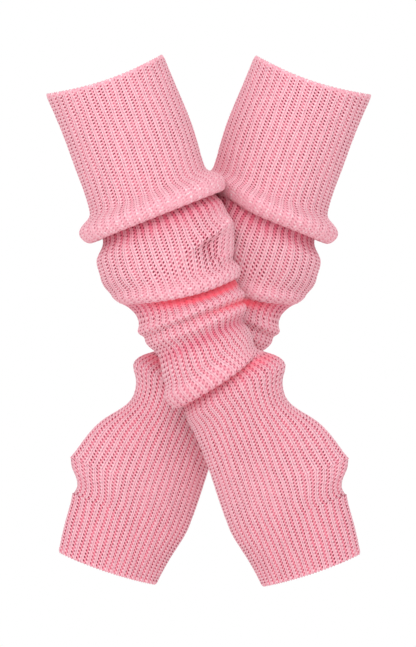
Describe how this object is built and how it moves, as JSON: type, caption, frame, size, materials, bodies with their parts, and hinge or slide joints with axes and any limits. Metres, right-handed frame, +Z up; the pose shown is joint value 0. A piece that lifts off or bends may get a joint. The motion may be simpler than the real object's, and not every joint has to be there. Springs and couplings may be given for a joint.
{
  "type": "pair of knitted arm warmers",
  "caption": "Long ribbed knit arm warmers with thumb openings, slouched in folds, in the shape they keep on two crossed forearms.",
  "frame": {"origin": "where the two worn arms cross, between the two warmers", "axes": "+Z up, -Y towards the viewer of the picture, +X to the viewer's right; each arm leans 21 degrees from Z"},
  "size_m": [0.244, 0.1406, 0.3975],
  "materials": {
    "knit": "matt brushed acrylic yarn in a fine rib, with a little sheen"
  },
  "bodies": {
    "root": {"warmer_front": "knit", "warmer_back": "knit"}
  },
  "joints": []
}
